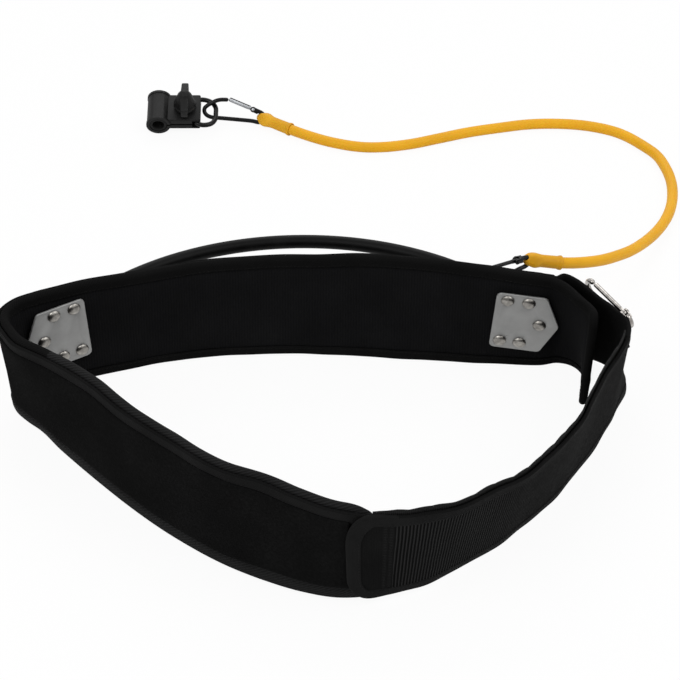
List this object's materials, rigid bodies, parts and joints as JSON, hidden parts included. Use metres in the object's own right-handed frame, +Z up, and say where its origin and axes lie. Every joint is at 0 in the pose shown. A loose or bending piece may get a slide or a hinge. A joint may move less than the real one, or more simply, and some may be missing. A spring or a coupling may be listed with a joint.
{
  "type": "golf swing trainer",
  "caption": "Padded waist belt with a bowed slide rail, resistance tube between spring hooks and a screw clamp that takes a club shaft.",
  "frame": {"origin": "on the floor under the middle of the belt and rail, the tube line and clamp left out", "axes": "+Z up, +Y from the closure at the front of the belt towards the rail and tube, +X along the back of the belt to the tube's end of the rail"},
  "size_m": [0.5586, 0.695, 0.1005],
  "materials": {
    "belt_fabric": "ribbed padded cloth, matt",
    "strap_webbing": "woven ribbed webbing",
    "loop_pile": "brushed loop pile",
    "hook_tape": "moulded hook tape",
    "edge_tape": "twill binding tape",
    "plate_metal": "satin",
    "rivet_metal": "polished",
    "bracket_plastic": "fine matt",
    "rail_coat": "black powder coat",
    "tube_rubber": "smooth satin latex",
    "cuff_rubber": "matt moulded rubber",
    "hook_coat": "black enamel",
    "gate_metal": "satin",
    "side_metal": "polished",
    "clamp_plastic": "fine matt",
    "liner_rubber": "matt",
    "screw_metal": "plain"
  },
  "bodies": {
    "belt": {"backing_plate_left": "plate_metal", "backing_plate_right": "plate_metal", "belt_edge_tape": "edge_tape", "closure_end_tape": "edge_tape", "hook_panel": "hook_tape", "loop_panel": "loop_pile", "outer_strap": "strap_webbing", "padded_belt": "belt_fabric", "rail_bracket_left": "bracket_plastic", "rail_bracket_right": "bracket_plastic", "rivet_left_1": "rivet_metal", "rivet_left_2": "rivet_metal", "rivet_left_3": "rivet_metal", "rivet_left_4": "rivet_metal", "rivet_left_5": "rivet_metal", "rivet_right_1": "rivet_metal", "rivet_right_2": "rivet_metal", "rivet_right_3": "rivet_metal", "rivet_right_4": "rivet_metal", "rivet_right_5": "rivet_metal", "slide_rail": "rail_coat", "snap_keeper": "strap_webbing"},
    "tube_line": {"rail_snap_body": "hook_coat", "rail_snap_pin": "gate_metal", "near_cuff": "cuff_rubber", "resistance_tube": "tube_rubber", "far_cuff": "cuff_rubber", "club_snap_body": "hook_coat", "club_snap_pin": "gate_metal", "d_ring": "hook_coat"},
    "rail_gate": {"rail_snap_gate": "gate_metal"},
    "club_gate": {"club_snap_gate": "gate_metal"},
    "side_hook": {"side_snap_body": "side_metal", "side_snap_pin": "side_metal"},
    "side_gate": {"side_snap_gate": "side_metal"},
    "clamp": {"shaft_clamp": "clamp_plastic", "clamp_liner": "liner_rubber", "clamp_nut": "screw_metal"},
    "wing": {"wing_knob": "clamp_plastic", "clamp_screw": "screw_metal"}
  },
  "joints": [
    {"name": "rail_travel", "type": "hinge", "parent": "belt", "child": "tube_line", "pos_m": [-0.01175, -0.01221, 0.05], "axis": [0, 0, 1], "range_deg": [-2, 84]},
    {"name": "rail_gate_hinge", "type": "hinge", "parent": "tube_line", "child": "rail_gate", "pos_m": [0.16037, 0.16092, 0.06104], "axis": [0.4802, -0.8754, -0.056], "range_deg": [0, 22], "stiffness_Nm_per_rad": 0.05, "springref_deg": -8.59},
    {"name": "club_gate_hinge", "type": "hinge", "parent": "tube_line", "child": "club_gate", "pos_m": [-0.06115, 0.47134, 0.0144], "axis": [0.0003, -0.866, 0.5], "range_deg": [0, 22], "stiffness_Nm_per_rad": 0.05, "springref_deg": -8.59},
    {"name": "side_hook_swing", "type": "hinge", "parent": "belt", "child": "side_hook", "pos_m": [0.22944, 0.07084, 0.07452], "axis": [-0.4699, 0.8773, -0.0978], "range_deg": [0, 110]},
    {"name": "side_gate_hinge", "type": "hinge", "parent": "side_hook", "child": "side_gate", "pos_m": [0.23677, 0.04908, 0.0885], "axis": [-0.8238, -0.4756, -0.3085], "range_deg": [0, 22], "stiffness_Nm_per_rad": 0.05, "springref_deg": -8.59},
    {"name": "ring_hinge", "type": "hinge", "parent": "tube_line", "child": "clamp", "pos_m": [-0.11335, 0.46619, 0.0153], "axis": [0, 0.9563, 0.2924], "range_deg": [-12, 12]},
    {"name": "wing_turn", "type": "hinge", "parent": "clamp", "child": "wing", "pos_m": [-0.12235, 0.46619, 0.0153], "axis": [0, -0.2924, 0.9563], "continuous": true}
  ]
}
